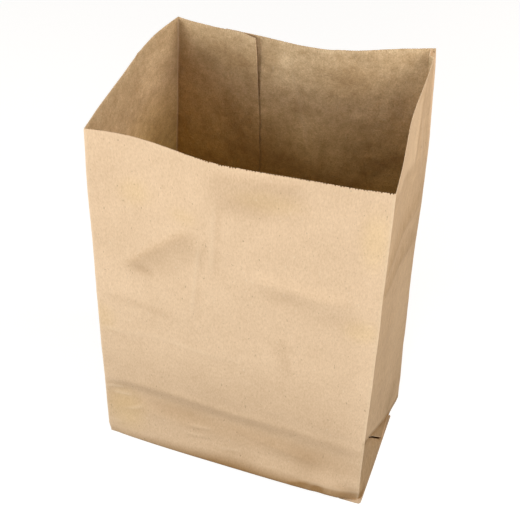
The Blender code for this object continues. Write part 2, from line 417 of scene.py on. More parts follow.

# Painted shade and painted light on the inner face of the back and left walls
back_inner_marks = [
    Spot((134, 200), (7, 24), 0.3),
    Spot((96, 196), (15, 11), 0.28),
    Spot((92, 183), (6, 13), 0.2),
    Spot((58, 179), (16, 7), 0.14),
    Spot((68, 204), (8, 12), -0.02),
    Spot((30, 181), (17, 9), -0.24),
    Spot((112, 158), (8, 16), -0.22),
    Spot((46, 154), (10, 9), -0.26),
    Spot((86, 172), (4, 5), -0.2),
    Spot((118, 134), (16, 4), 0.3),
    Facet([(56, 146), (68, 146), (72, 170), (56, 176)], 2.5, -0.16),
    Facet([(109, 132), (134, 130), (134, 190), (109, 192)], 1.6, -0.12),
    Facet([(1, 138), (34, 143), (32, 152), (12, 158), (1, 158)], 1.2, 0.25),
    Spot((46, 146), (24, 13), -0.3),
    Spot((108, 200), (20, 20), 0.25),
    Spot((84, 203), (10, 10), 0.25),
    Spot((44, 196), (24, 18), 0.28),
    Spot((68, 178), (9, 9), 0.2),
    Spot((6, 192), (12, 24), -0.14),
    Facet([(70, 190), (82, 188), (78, 206), (73, 206)], 1.2, -0.14),
    Facet([(12, 128), (34, 128), (22, 146), (12, 148)], 3.0, -0.5),
    Crease((44, 147), (112, 148), 0.0, 1, 10, 0.0, 0.18),
    Spot((118, 196), (14, 14), 0.12),
    Crease((76, 214), (74, 190), 0.0, 1, 9, 0.0, -0.2),
]
left_inner_marks = [
    Spot((18, 194), (15, 18), -0.4),
    Spot((42, 200), (14, 12), -0.1),
    Spot((16, 154), (24, 24), 0.3),
    Spot((0, 202), (6, 26), 0.34),
    Crease((30, 186), (30, 222), 0.0, 3, 1, 0.0, 0.12),
]

# Fold marks of the left gusset
left_marks = [
    Crease((30, 170), (29, 222), 0.45, 3, 4),
    Crease((8, 150), (52, 196), 0.4, 6, 9),
    Swell((56, 186), (16, 22), -0.5),
]

# Main crease across the front panel, a little above the half depth
front_crease = [
    (0, 43 * mm),
    (10 * mm, 46.5 * mm),
    (30 * mm, 47 * mm),
    (60 * mm, 45.2 * mm),
    (100 * mm, 44.5 * mm),
    (bag_width, 40.5 * mm),
]
front_crease_strength = [(0, 0.6), (18 * mm, 1.0), (80 * mm, 1.0), (110 * mm, 0.5), (bag_width, 0.3)]
front_crease_ridge = 0.25 * mm
front_crease_reach = 6 * mm
front_crease_dip = 1.5 * mm
dip_height = 9.5 * mm
dip_return = 15 * mm


def front_crease_relief(across, height):
    """Ridge along the main crease and the hollow below it."""
    below = reading(across, front_crease) - height
    strength = reading(across, front_crease_strength)
    ridge = front_crease_ridge * near(below, front_crease_reach) ** 2
    if below < 0:
        return ridge * strength
    sink = ease(below / dip_height) if below < dip_height else ease(1 - (below - dip_height) / dip_return)
    return (ridge - front_crease_dip * sink) * strength


def edge_fade(u, width):
    """Keeps a panel's marks off its upright folds."""
    return ease(min(u, 1 - u) * width / fold_margin)


def marks_relief(marks, u, width, height):
    """How far a panel's marks stand out at a place."""
    return sum(mark.relief(u * width, height) for mark in marks) * edge_fade(u, width)


def flat_point(first, second, u, row):
    """Point on the flat panel between two corners, and its height."""
    height = first.height(row) * (1 - u) + second.height(row) * u
    return first.point(first.height(row)).lerp(second.point(second.height(row)), u), height


def foot_turn(height, radius):
    """How far a wall turns in as it meets the folded bottom."""
    if height > radius:
        return 0.0
    return radius - math.sqrt(max(0.0, radius**2 - (radius - height) ** 2))


def lowered(point, height, drop):
    """Brings the foot of a wall down onto the flap below it."""
    point.z -= drop * near(height, lowered_reach)
    return point, height


def front_point(u, row):
    """Place on the front panel, with its height, at a share of the width and a row."""
    point, height = flat_point(corners["front_left"], corners["front_right"], u, row)
    high = ease(height / bag_height)
    relief = marks_relief(front_marks, u, bag_width, height)
    relief += front_crease_relief(u * bag_width, height) * edge_fade(u, bag_width)
    radius = reading(u * bag_width, front_turn)
    foot = turn_swell * radius * ease(1 - height / foot_reach) - foot_turn(height, radius)
    point.y -= waves(u, front_waves) * high + waves(u, foot_waves) * (1 - high)
    point.y -= relief + foot * ease(min(u, 1 - u) * bag_width / foot_fade)
    return lowered(point, height, foot_level)


def pleat_fold(across):
    """Height of the pleat's fold line across the right gusset."""
    share = min(across / fold_run, 1.0)
    return fold_start + (fold_end - fold_start) * share + fold_bow * math.sin(math.pi * share)


def slot_opening(across):
    """How far the slot between the plies of the pleat is open."""
    return ease((across - slot_open[0]) / slot_ends[0]) * ease((slot_open[1] - across) / slot_ends[1])


def pleat_section(across, row, fold):
    """How far in, and how high, the right gusset lies below the pleat's fold line."""
    slot = min(reading(across, slot_line), fold - least_ply)
    opened = slot_opening(across)
    step = ply_step * ease(across / ply_step_start)
    step *= ease((fold_run + ply_step_past - across) / ply_step_end)
    gap = closed_gap + slot_gap * opened
    lip = step * ply_lip * ease((fold_run - across) / ply_lip_end)
    low = lip + slot_step * ease(across / slot_step_start) * opened
    deep = low + slot_depth * opened
    # Row, how far in and how high: up the lower ply, into the slot and out, and up the upper ply
    section = [
        (0, 0.0, 0.0),
        (4.5, 0.25 * low, 0.75 * (slot - gap)),
        (6.0, low, slot - gap),
        (6.25, deep, slot - 0.8 * gap),
        (6.75, deep, slot - 0.1 * gap),
        (7.0, lip, slot),
        (7.25, 0.7 * lip, slot + 0.12 * (fold - slot)),
        (8.25, step, max(fold - 0.9 * mm, slot + 0.7 * (fold - slot))),
        (8.5, step, fold - 0.12 * mm),
        (8.75, step * 0.5, fold - 0.06 * mm),
        (9.0, 0.0, fold),
    ]
    inward = reading(row, [(mark, depth) for mark, depth, up in section])
    return inward, reading(row, [(mark, max(up, 0.0)) for mark, depth, up in section])


def right_run(u):
    """How far across the right gusset's foot a share of its width is."""
    return u * (corners["back_right"].foot - corners["front_right"].foot).length


def right_point(u, row):
    """The same for the right gusset."""
    first, second = corners["front_right"], corners["back_right"]
    across = right_run(u)
    fold = pleat_fold(across)
    if row < pleat_row:
        inward, height = pleat_section(across, row, fold)
    else:
        inward = 0.0
        height = reading(row, [(pleat_row, fold), (rim_row, bag_height - foot_level)])
    point = first.point(height).lerp(second.point(height), u)
    t = height / bag_height
    point.x += waves(u, right_waves) * grown(height, right_waves_start)
    if 0 < (1 - u) * bag_depth < pinch_span:
        point.x -= pinch_width * ease(1 - (1 - t) / pinch_reach)
    climb = ease((height - fold) / right_valley_climb)
    point.x -= right_valley_share * gusset_valley * (1 - abs(2 * u - 1)) * climb * (1 - t)
    point.x += marks_relief(right_marks, u, bag_depth, height) * ease((height - fold) / fold_calm)
    point.x -= inward + reading(across, right_foot) * ease(1 - height / foot_reach)
    return lowered(point, height, paper)


def back_point(u, row):
    """The same for the back panel."""
    point, height = flat_point(corners["back_right"], corners["back_left"], u, row)
    relief = marks_relief(back_marks, u, bag_width, height)
    bow = waves(u, back_waves) * grown(height, back_waves_start)
    point.y += bow + relief - foot_turn(height, side_turn)
    return lowered(point, height, paper)


def left_point(u, row):
    """The same for the left gusset."""
    point, height = flat_point(corners["back_left"], corners["front_left"], u, row)
    across = abs(2 * u - 1)
    valley = 0.0
    if height <= bag_depth:
        valley = max(0.0, 1 - max(across, abs(1 - height / half_depth)))
    upper = left_valley_share * (1 - across) * (1 - height / bag_height) * ease(height / half_depth - 1)
    relief = marks_relief(left_marks, u, bag_depth, height)
    point.x -= waves(u, left_waves) * grown(height, left_waves_start) + relief
    point.x += gusset_valley * max(valley, upper) + foot_turn(height, side_turn)
    return lowered(point, height, paper)


# The inner ply of the back seam: where its raw edge runs, and how it lifts near the rim
seam_edge = [
    (0, 2.5 * mm),
    (132 * mm, 1.8 * mm),
    (175 * mm, 0.0),
    (190 * mm, -1.2 * mm),
    (205 * mm, -1.8 * mm),
    (bag_height, -2.8 * mm),
]
seam_lift = 1.7 * mm
seam_lift_reach = 12 * mm
seam_lift_start = 168 * mm
ply_gap = 0.15 * mm
ply_gap_reach = 8 * mm
inner_ply_start = 1 - (seam_inset + seam_lap) / bag_width
outer_ply_end = 1 - seam_inset / bag_width


def inner_ply_point(u, row):
    """Back panel at the left of the seam, in front of the other ply."""
    closeness = ease((1 - u) / (1 - inner_ply_start))
    height = corners["back_left"].height(row)
    point, height = back_point(u - reading(height, seam_edge) / bag_width * closeness, row)
    lift = seam_lift * ease((height - seam_lift_start) / (bag_height - seam_lift_start))
    point.y -= (paper + ply_gap) * min(1.0, (1 - u) * bag_width / ply_gap_reach)
    point.y -= lift * ease(1 - (u - inner_ply_start) * bag_width / seam_lift_reach) ** 2
    return point, height


def places(start, end, width):
    """Places along a panel, spaced by the pitch of the cut teeth."""
    count = round((end - start) * width / tooth_pitch)
    return [start + (end - start) * i / count for i in range(count)]


def sheet_route():
    """The sheet once round the bag, from the inner raw edge of the seam to the outer one."""
    pinched = places(0, 1, bag_depth)
    pinched[-1] = 1 - pinch_gap / 2 / bag_depth
    return [
        (inner_ply_point, places(inner_ply_start, 1, bag_width)),
        (left_point, places(0, 1, bag_depth)),
        (front_point, places(0, 1, bag_width)),
        (right_point, pinched),
        (back_point, places(0, outer_ply_end, bag_width) + [outer_ply_end]),
    ]


def sheet_rows():
    """Grid lines of the sheet in rows, from the foot to the rim."""
    rows = list(foot_rows)
    rows += [i / low_parts for i in range(low_lines_start, crease_row * low_parts)]
    rows += [crease_row + i / high_parts for i in range((rim_row - crease_row) * high_parts + 1)]
    return rows


# Cockling of the paper: scale and depth in millimetres of two noises, and the height of their start
broad_cockle = (34, 0.35)
small_cockle = (120, 0.09)
cockle_climb = 12 * mm

# Seed of the vector noise, which would otherwise start from the clock and cockle the paper anew each run
cockle_seed = 1795666116
noise.seed_set(cockle_seed)


def unevenness(point):
    """Slight cockling of the paper, the same for points that lie close together."""
    total = Vector()
    for scale, depth in (broad_cockle, small_cockle):
        total += noise.noise_vector(point * scale) * depth * mm
    return total * ease(point.z / cockle_climb)


def settled(point):
    """Point after the front foot's ends are rounded inward and the paper is cockled."""
    away = (point - corners["front_right"].foot).length
    pull = corner_tuck * near(away, tuck_reach) ** 1.5
    away = (point - corners["front_left"].foot).length
    pull_left = left_tuck * ease(1 - away / left_tuck_reach)
    moved = point + Vector((pull_left - corner_slide * pull**2 / corner_tuck, pull, 0))
    return moved + unevenness(moved) + centre_shift


# Marks of the outer faces by wall, and of the painted shade and light of the inner faces
panel_marks = {front_point: front_marks, right_point: right_marks, back_point: back_marks}
inner_marks = {left_point: left_inner_marks, back_point: back_inner_marks, inner_ply_point: back_inner_marks}

# Yellowed spots of the front panel in millimetres: centre, radii and strength
front_stains = [
    ((21, 181), (9, 10), 0.5),
    ((83, 197), (18, 8), 0.5),
    ((130, 185), (8, 22), 0.6),
    ((128, 127), (10, 9), 0.6),
    ((10, 22), (14, 20), 0.8),
    ((2, 92), (8, 12), 0.5),
    ((45, 176), (8, 6), 0.4),
]
stain_edge = 1.2

# Height of the band of painted shade along the front's turned foot, and the painted shade low on the panel
foot_band = [(0, 5.0 * mm), (30 * mm, 8.0 * mm), (60 * mm, 11.0 * mm), (bag_width, 12.0 * mm)]
foot_band_shade = [(0, 0.4), (30 * mm, 0.65), (60 * mm, 1.0), (bag_width, 0.85)]
low_shade = [(0, 0.02), (25 * mm, 0.09), (60 * mm, 0.15), (100 * mm, 0.17), (bag_width, 0.12)]
low_shade_top = 95 * mm
low_shade_fade = 45 * mm

# Shade below the front's main crease, by the distance below it
crease_band = [
    (-bag_height, 0.0),
    (-2.5 * mm, 0.0),
    (1.5 * mm, 0.12),
    (9 * mm, 0.12),
    (14 * mm, 0.18),
    (20 * mm, 0.16),
    (27 * mm, 0.02),
    (32 * mm, 0.0),
]

# Painted highlight along the front panel's right edge
right_edge_highlight = 0.1
right_edge_highlight_start = 122 * mm
right_edge_highlight_run = 12 * mm

# Even painted shade of the outer and inner faces, from which spots of painted light are lifted
panel_shade = 0.08
right_panel_shade = 0.14
inner_shade = 0.28

# Shade under the pleat's fold line: even, close under the line, above the slot and below it
under_fold_shade = 0.52
contact_shade = 0.36
contact_reach = 6 * mm
line_shade = 0.8
line_reach = 0.9 * mm
contact_start = 3 * mm
upper_ply_shade = 0.1
lower_ply_shade = 0.2
lower_ply_reach = 4 * mm

# How far the painted dark of the slot stays off its edges, in shares of its gap
shut_margin = -0.3
open_margin = 0.05

# Uneven shade of the right gusset: strength and scale of two noises
right_mottle = ((0.14, 240), (0.2, 520))

# Painted shade hue of the right gusset above the pleat and below its fold line
upper_shade_hue = 0.3
lower_shade_hue = 0.5
shade_hue_climb = 2 * mm

# Painted highlights of the right gusset: along the fold line, on the edge above the slot and at the foot
fold_highlight = 0.5
fold_highlight_reach = 0.5 * mm
slot_edge_highlight = 0.8
slot_edge_highlight_reach = 0.8 * mm
slot_edge_highlight_end = 4 * mm
foot_highlight_span = (41 * mm, 60 * mm)
foot_highlight_ends = 3 * mm
foot_highlight_reach = 0.7 * mm

# Worn paper and painted highlight along the upright folds, which are a little weaker at the foot
edge_wear_and_highlight = 0.9
edge_wear_and_highlight_reach = 1.25 * mm
edge_wear_and_highlight_at_foot = 0.7
edge_wear_and_highlight_climb = 14 * mm


def front_shade(across, height):
    """Painted shade low on the front panel: below its main crease and along its turned foot, less a painted
    highlight along its right edge.
    """
    below = reading(across, front_crease) - height
    band = reading(below, crease_band)
    foot = reading(across, foot_band_shade) * near(height, reading(across, foot_band)) ** 1.2
    low = reading(across, low_shade) * ease((low_shade_top - height) / low_shade_fade)
    lit_edge = right_edge_highlight * ease((across - right_edge_highlight_start) / right_edge_highlight_run)
    return panel_shade + low + band + foot - lit_edge


def right_shade(across, height):
    """Painted shade of the right gusset under the pleat's fold line, and painted dark in its slot."""
    below = pleat_fold(across) - height
    if below < 0:
        return right_panel_shade
    contact = contact_shade * near(below, contact_reach) + line_shade * near(below, line_reach)
    contact *= ease(across / contact_start)
    slot = reading(across, slot_line) - height
    gap = closed_gap + slot_gap * slot_opening(across)
    margin = shut_margin if across < slot_open[0] else open_margin
    if margin < slot / gap < 1 - margin and across < slot_open[1]:
        return 1.0
    ply = lower_ply_shade * near(slot, lower_ply_reach) if slot > 0 else upper_ply_shade
    return under_fold_shade + contact + ply


def right_highlights(across, height):
    """Painted highlights along the fold line, the edge above the slot and the foot behind it."""
    fold = fold_highlight * near(height - pleat_fold(across), fold_highlight_reach)
    above = height - reading(across, slot_line)
    edge = slot_edge_highlight * near(above, slot_edge_highlight_reach) if above >= 0 else 0.0
    edge *= ease((slot_open[1] - across) / slot_edge_highlight_end)
    start, end = foot_highlight_span
    foot = ease((across - start) / foot_highlight_ends) * ease((end - across) / foot_highlight_ends)
    return fold + edge + foot * near(height, foot_highlight_reach)


def mottled(across, height):
    """Uneven shade of the right gusset."""
    place = Vector((across, height, 0))
    return sum(strength * noise.noise(place * scale) for strength, scale in right_mottle)


def stained(across, height):
    """Yellowing of the front panel."""
    total = 0.0
    for (x, z), (rx, rz), strength in front_stains:
        total += strength * ease(stain_edge - math.hypot((across / mm - x) / rx, (height / mm - z) / rz))
    return min(1.0, total)


def looks_at(shape, u, height):
    """How worn the paper is with painted highlight, its painted shade, its stains and painted shade hue, and
    the painted shade of its inner face.
    """
    width = bag_depth if shape in (left_point, right_point) else bag_width
    across = u * width
    fold = 0.0 if shape is inner_ply_point else near(min(u, 1 - u) * width, edge_wear_and_highlight_reach)
    fold *= edge_wear_and_highlight_at_foot + (1 - edge_wear_and_highlight_at_foot) * ease(height / edge_wear_and_highlight_climb)
    marks = panel_marks.get(shape, [])
    wear_and_highlight = edge_wear_and_highlight * fold + sum(mark.rubbed_and_lit(across, height) for mark in marks)
    shade = sum(mark.shaded(across, height) for mark in marks)
    stain_and_shade_hue = 0.0
    if shape is front_point:
        shade += front_shade(across, height)
        stain_and_shade_hue = stained(across, height)
    elif shape is right_point:
        run = right_run(u)
        shade += right_shade(run, height)
        shade += mottled(across, height)
        wear_and_highlight += right_highlights(run, height)
        # On the right gusset this tint is painted shade hue
        stain_and_shade_hue = upper_shade_hue if height > pleat_fold(run) else lower_shade_hue * ease(height / shade_hue_climb)
    else:
        shade += panel_shade
    inner = inner_shade + sum(mark.shaded(across, height) for mark in inner_marks.get(shape, []))
    return min(1.0, wear_and_highlight), clamped(shade), stain_and_shade_hue, clamped(inner)


def tooth_bite(shape, u, place):
    """Depth of a cut tooth, which stands out only along the right of the front rim."""
    share = rim_tooth_share
    if shape is front_point:
        share += front_tooth_gain * ease((u - front_tooth_start) / front_tooth_run)
    return tooth_depth * (tooth_mean + tooth_spread * noise.noise(place * tooth_noise_scale)) * share


def make_tube(mesh, layers):
    """The walls: columns of the sheet round the bag, with cut teeth along the rim."""
    rows = sheet_rows()
    columns = []
    tips = []
    for shape, spots in sheet_route():
        step = spots[1] - spots[0]
        for u in spots:
            column = []
            for row in rows:
                point, height = shape(u, row)
                vert = mesh.verts.new(settled(point))
                for layer, value in zip(layers, looks_at(shape, u, height)):
                    vert[layer] = value
                column.append(vert)
            column[-1].co.z -= tooth_bite(shape, u, column[-1].co)
            columns.append(column)
            tips.append(mesh.verts.new(settled(shape(min(u + step / 2, 1.0), rim_row)[0])))
    for i, (column, following) in enumerate(zip(columns, columns[1:])):
        for row in range(len(rows) - 2):
            mesh.faces.new((column[row], following[row], following[row + 1], column[row + 1]))
        a, b, tip = column[-2], following[-2], tips[i]
        mesh.faces.new((a, b, tip))
        mesh.faces.new((a, tip, column[-1]))
        mesh.faces.new((b, following[-1], tip))
    mesh.verts.remove(tips[-1])


# Material slots come in threes, for a ply's face, its back and its rim: first the walls
wall_slot = 0
flap_slot = 3
floor_slot = 6


def add_plate(mesh, shade, outline, level, slot=wall_slot):
    """Flat ply over an outline, at a level, facing down."""
    verts = [mesh.verts.new(Vector((x, y, level))) for x, y in outline]
    # Painted shade of the ply, darker towards the back
    for vert in verts:
        vert[shade] = reading(vert.co.y, flap_shade)
    face = mesh.faces.new(verts)
    face.normal_update()
    face.material_index = slot
    if face.normal.z > 0:
        face.normal_flip()


def toothed(start, end):
    """Points along a cut raw edge, from one end to the other."""
    start = Vector(start)
    run = Vector(end) - start
    count = round(run.length / tooth_pitch)
    side = Vector((-run.y, run.x)).normalized() * tooth_depth
    points = []
    for i in range(count):
        points.append(start + run * (i / count))
        points.append(start + run * ((i + 0.5) / count) - side)
    return [tuple(point) for point in points]


# Outer bottom flap where it shows at the right, from the front foot round to its raw edge
lip_start = 57.5 * mm
flap_lip = [(57.8, -41.15), (66.4, -41.1), (68.2, -40.9), (68.85, -40.1)]
flap_lip += [(68.95, -38.5), (68.9, -15), (68.7, 0)]
flap_corner = 68.6 * mm

# The other plies of the bottom, and the painted shade of its edges from front to back
flap_overlap = 6 * mm
floor_inset = 1.4 * mm
corner_ply_inset = 3 * mm
corner_ply_share = 0.93
corner_ply_level = 3.2 * paper
flap_shade = [(-bag_depth, 0.18), (-42 * mm, 0.18), (-20 * mm, 0.45), (0, 0.55), (bag_depth, 0.55)]


def foot_line(shape, count=48):
    """Foot of one wall, seen from above."""
    points = [settled(shape(i / count, 0)[0]) for i in range(count)]
    return [(point.x, point.y) for point in points]


def outer_flap():
    """Outline of the outer flap: the front foot, the lip at the right and the raw edge."""
    front = [point for point in foot_line(front_point) if point[0] < lip_start + centre_shift.x]
    front_left = corners["front_left"].foot
    back_left = corners["back_left"].foot
    left = reading(bottom_lap, [(front_left.y, front_left.x), (back_left.y, back_left.x)])
    side = [(x * mm, y * mm) for x, y in flap_lip]
    side += toothed((flap_corner, bottom_lap), (left, bottom_lap))
    side.append((left, bottom_lap))
    return front + [(x + centre_shift.x, y + centre_shift.y) for x, y in side]


def corner_fold(first, last):
    """Outline of the triangle that a gusset folds to on the floor."""
    start = corners[first].foot + centre_shift
    end = corners[last].foot + centre_shift
    middle = (start + end) / 2
    inward = 1 if middle.x < 0 else -1
    ends = [middle + (corner - middle) * corner_ply_share for corner in (start, end)]
    outline = [(corner.x + inward * corner_ply_inset, corner.y) for corner in ends]
    return outline + [(middle.x + inward * half_depth, middle.y)]


def make_bottom(mesh, shade):
    """The folded bottom: the outer flap over the inner flap, the floor of the bag and its corner folds."""
    walls = (front_point, right_point, back_point, left_point)
    around = [point for shape in walls for point in foot_line(shape)]
    inner_start = bottom_lap - flap_overlap + centre_shift.y
    inner_flap = [point for point in around if point[1] > inner_start]
    floor = [(x - floor_inset if x > 0 else x, y) for x, y in around]
    add_plate(mesh, shade, outer_flap(), 0.0, flap_slot)
    add_plate(mesh, shade, inner_flap, paper, flap_slot)
    add_plate(mesh, shade, floor, 2 * paper, floor_slot)
    for first, last in (("front_left", "back_left"), ("back_right", "front_right")):
        add_plate(mesh, shade, corner_fold(first, last), corner_ply_level)


# Looks kept at each point of the sheet, and the angle from which its folds are sharp
# Worn paper and painted highlight, painted shade, stains and painted shade hue, and the inner face's painted
# shade
look_names = ("wear_and_highlight", "shade", "stain_and_shade_hue", "inner")
sharp_angle = 38


def added(name, data):
    """New object of the scene."""
    thing = bpy.data.objects.new(name, data)
    bpy.context.scene.collection.objects.link(thing)
    return thing


def added_mesh(name, mesh):
    """New object of the scene from a finished mesh."""
    data = bpy.data.meshes.new(name)
    mesh.to_mesh(data)
    mesh.free()
    return added(name, data)


def folded_sheet():
    """The sheet before it has thickness, with its looks at every point."""
    mesh = bmesh.new()
    for name in look_names:
        mesh.verts.layers.float.new(name)
    layers = [mesh.verts.layers.float[name] for name in look_names]
    make_tube(mesh, layers)
    make_bottom(mesh, layers[1])
    return added_mesh("bag_paper", mesh)


def thickened(piece):
    """Gives the sheet the thickness of the paper and keeps its folds and raw edges sharp."""
    sheet = piece.modifiers.new("sheet", "SOLIDIFY")
    sheet.thickness = paper
    sheet.offset = -1.0
    sheet.material_offset = 1
    sheet.material_offset_rim = 2
    graph = bpy.context.evaluated_depsgraph_get()
    baked = bpy.data.meshes.new_from_object(piece.evaluated_get(graph))
    piece.modifiers.clear()
    piece.data = baked
    baked.shade_smooth()
    baked.set_sharp_from_angle(angle=math.radians(sharp_angle))


# Colours of the paper, and the tints that multiply them
white = (1, 1, 1, 1)
outside_colour = (0.785, 0.58, 0.385, 1)
# The flaps' colour is the outer colour darkened as painted shade of the flat bottom
flap_shaded_colour = (0.6, 0.46, 0.316, 1)
inside_colour = (0.745, 0.545, 0.32, 1)
rubbed_and_highlight_colour = (0.93, 0.74, 0.53, 1)
dark_fleck = (0.20, 0.12, 0.06, 1)
light_fleck = (0.90, 0.76, 0.58, 1)
cloud_tints = ((0.93, 0.92, 0.90, 1), (1.07, 1.08, 1.09, 1))
# Tint of painted shade, warmer as it darkens
painted_shade_tint = (0.42, 0.325, 0.20, 1)
stain_and_shade_hue_tint = (1.0, 0.99, 0.84, 1)
cut_edge_colours = ((0.62, 0.45, 0.28, 1), (0.84, 0.68, 0.48, 1))

# Tints by height, painted light and shade: the inside cooler where lit near the rim and a yellower painted
# shade deep down, the cut edges in painted shade low down
painted_rim_light_tint = (0.97, 1.0, 1.04, 1)
rim_heights = (172 * mm, 212 * mm)
painted_deep_shade_tint = (0.96, 0.92, 0.60, 1)
deep_heights = (185 * mm, 138 * mm)
painted_low_edge_shade_tint = (0.3, 0.24, 0.18, 1)
low_edge_heights = (195 * mm, 175 * mm)

# Noises of the paper: scale, detail and roughness, and how the light flecks are stretched
cloud_noise = (45, 3, 0.55)
patch_noise = (190, 6, 0.78)
fibre_noise = (1500, 3, 0.6)
dark_fleck_noise = (1150, 1, 0.4)
light_fleck_noise = (900, 1, 0.4)
light_fleck_stretch = (1.1, 0.9, 0.5)
waviness_noise = (110, 3, 0.6)
cut_edge_noise = (900, 2, 0.5)

# The part of a noise that is spread from nought to one
patch_range = (0.3, 0.7)
fibre_range = (0.25, 0.75)
fleck_range = (0.72, 0.80)
stain_and_shade_hue_range = (0.35, 0.65)

# Strength of the flecks and of the worn paper and painted highlight, how stains and the painted shade hue
# vary with the clouds, and the gloss
fleck_strength = 0.4
rubbed_and_highlight_strength = 0.5
stain_and_shade_hue_fading = (0.75, 1.0)
paper_roughness = (0.78, 0.92)
paper_specular = 0.22

# Relief that only the light shows
waviness_strength = 0.6
fibre_depth = 0.08 * mm
fibre_strength = 0.5


class Nodes:
    """Short calls to add and link the nodes of one material."""

    def __init__(self, name):
        self.material = bpy.data.materials.new(name)
        self.material.use_nodes = True
        self.tree = self.material.node_tree
        self.shader = self.tree.nodes["Principled BSDF"]
        self.position = self.tree.nodes.new("ShaderNodeTexCoord").outputs["Object"]

    def add(self, kind, inputs, **settings):
        node = self.tree.nodes.new(kind)
        for key, value in settings.items():
            setattr(node, key, value)
        for key, source in inputs.items():
            self.link(source, node.inputs[key])
        return node

    def link(self, source, target):
        """Links an output to an input, or gives the input a plain value."""
        if isinstance(source, (int, float, tuple)):
            target.default_value = source
        else:
            self.tree.links.new(source, target)

    def attribute(self, name):
        """A look kept at the points of the sheet."""
        return self.add("ShaderNodeAttribute", {}, attribute_name=name).outputs["Fac"]

    def scaled(self, x, y, z):
        """Place on the object, stretched for a noise that runs along the sheet."""
        inputs = {"Vector": self.position, "Scale": (x, y, z)}
        return self.add("ShaderNodeMapping", inputs).outputs["Vector"]

    def noise(self, vector, scale, detail, roughness):
        inputs = {"Vector": vector, "Scale": scale, "Detail": detail, "Roughness": roughness}
        return self.add("ShaderNodeTexNoise", inputs).outputs["Fac"]

    def spread(self, value, low, high, to_low=0.0, to_high=1.0):
        inputs = {"Value": value, "From Min": low, "From Max": high, "To Min": to_low, "To Max": to_high}
        return self.add("ShaderNodeMapRange", inputs).outputs["Result"]

    def math(self, operation, first, second):
        return self.add("ShaderNodeMath", {0: first, 1: second}, operation=operation).outputs["Value"]

    def blend(self, kind, factor, first, second):
        inputs = {"Factor": factor, "A": first, "B": second}
        node = self.add("ShaderNodeMix", inputs, data_type="RGBA", blend_type=kind)
        return next(out for out in node.outputs if out.type == "RGBA")

    def tinted(self, colour, amount, tint):
        return self.blend("MULTIPLY", 1.0, colour, self.blend("MIX", amount, white, tint))

    def height(self, low, high):
        """Nought at one height of the object and one at the other, in metres."""
        split = self.add("ShaderNodeSeparateXYZ", {"Vector": self.position})
        return self.spread(split.outputs["Z"], low, high)

    def bump(self, height, distance, strength, **more):
        inputs = {"Height": height, "Distance": distance, "Strength": strength, **more}
        return self.add("ShaderNodeBump", inputs).outputs["Normal"]


def paper_tone(level):
    """Tint of lighter or darker kraft paper: the darker it is, the warmer."""
    return (level, level**1.19, level**1.5, 1)


def kraft_material(name, base, mottle, grain, lie, cockle, shade_name):
    """Brown kraft paper: clouded pulp, fine fibres, dark and light flecks, worn and highlighted folds,
    stains, painted shade.
    """
    n = Nodes(name)
    plain = n.scaled(1, 1, 1)
    upright = n.scaled(1, 1, lie)
    clouds = n.noise(plain, *cloud_noise)
    patches = n.noise(plain, *patch_noise)
    fibres = n.noise(upright, *fibre_noise)
    colour = n.blend("MULTIPLY", 1.0, base, n.blend("MIX", clouds, *cloud_tints))
    for texture, part, amount in ((patches, patch_range, mottle), (fibres, fibre_range, grain)):
        tone = n.blend("MIX", n.spread(texture, *part), paper_tone(1 - amount), paper_tone(1 + amount))
        colour = n.blend("MULTIPLY", 1.0, colour, tone)
    dark_flecks = n.noise(upright, *dark_fleck_noise)
    light_flecks = n.noise(n.scaled(*light_fleck_stretch), *light_fleck_noise)
    for flecks, fleck in ((dark_flecks, dark_fleck), (light_flecks, light_fleck)):
        amount = n.math("MULTIPLY", n.spread(flecks, *fleck_range), fleck_strength)
        colour = n.blend("MIX", amount, colour, fleck)
    # Painted shade, by the shade kept at each point of the sheet
    colour = n.tinted(colour, n.attribute(shade_name), painted_shade_tint)
    # The inner face is cooler where lit near the rim and yellower in painted shade deep down
    if shade_name == "inner":
        colour = n.tinted(colour, n.height(*rim_heights), painted_rim_light_tint)
        colour = n.tinted(colour, n.height(*deep_heights), painted_deep_shade_tint)
    else:
        stain_and_shade_hue = n.math("MULTIPLY", n.attribute("stain_and_shade_hue"), n.spread(clouds, *stain_and_shade_hue_range, *stain_and_shade_hue_fading))
        colour = n.tinted(colour, stain_and_shade_hue, stain_and_shade_hue_tint)
    rubbed_and_lit = n.math("MULTIPLY", n.attribute("wear_and_highlight"), rubbed_and_highlight_strength)
    n.link(n.blend("MIX", rubbed_and_lit, colour, rubbed_and_highlight_colour), n.shader.inputs["Base Color"])
    n.link(n.spread(patches, *patch_range, *paper_roughness), n.shader.inputs["Roughness"])
    n.shader.inputs["Specular IOR Level"].default_value = paper_specular
    waviness = n.bump(n.noise(plain, *waviness_noise), cockle, waviness_strength)
    n.link(n.bump(fibres, fibre_depth, fibre_strength, Normal=waviness), n.shader.inputs["Normal"])
    return n.material


def cut_edge_material():
    """Raw cut edge of the sheet, a little paler than its face, with painted shade below the rim."""
    n = Nodes("kraft_cut_edge")
    tone = n.noise(n.scaled(1, 1, 1), *cut_edge_noise)
    colour = n.blend("MIX", tone, *cut_edge_colours)
    n.link(n.tinted(colour, n.height(*low_edge_heights), painted_low_edge_shade_tint), n.shader.inputs["Base Color"])
    n.shader.inputs["Roughness"].default_value = 0.9
    return n.material


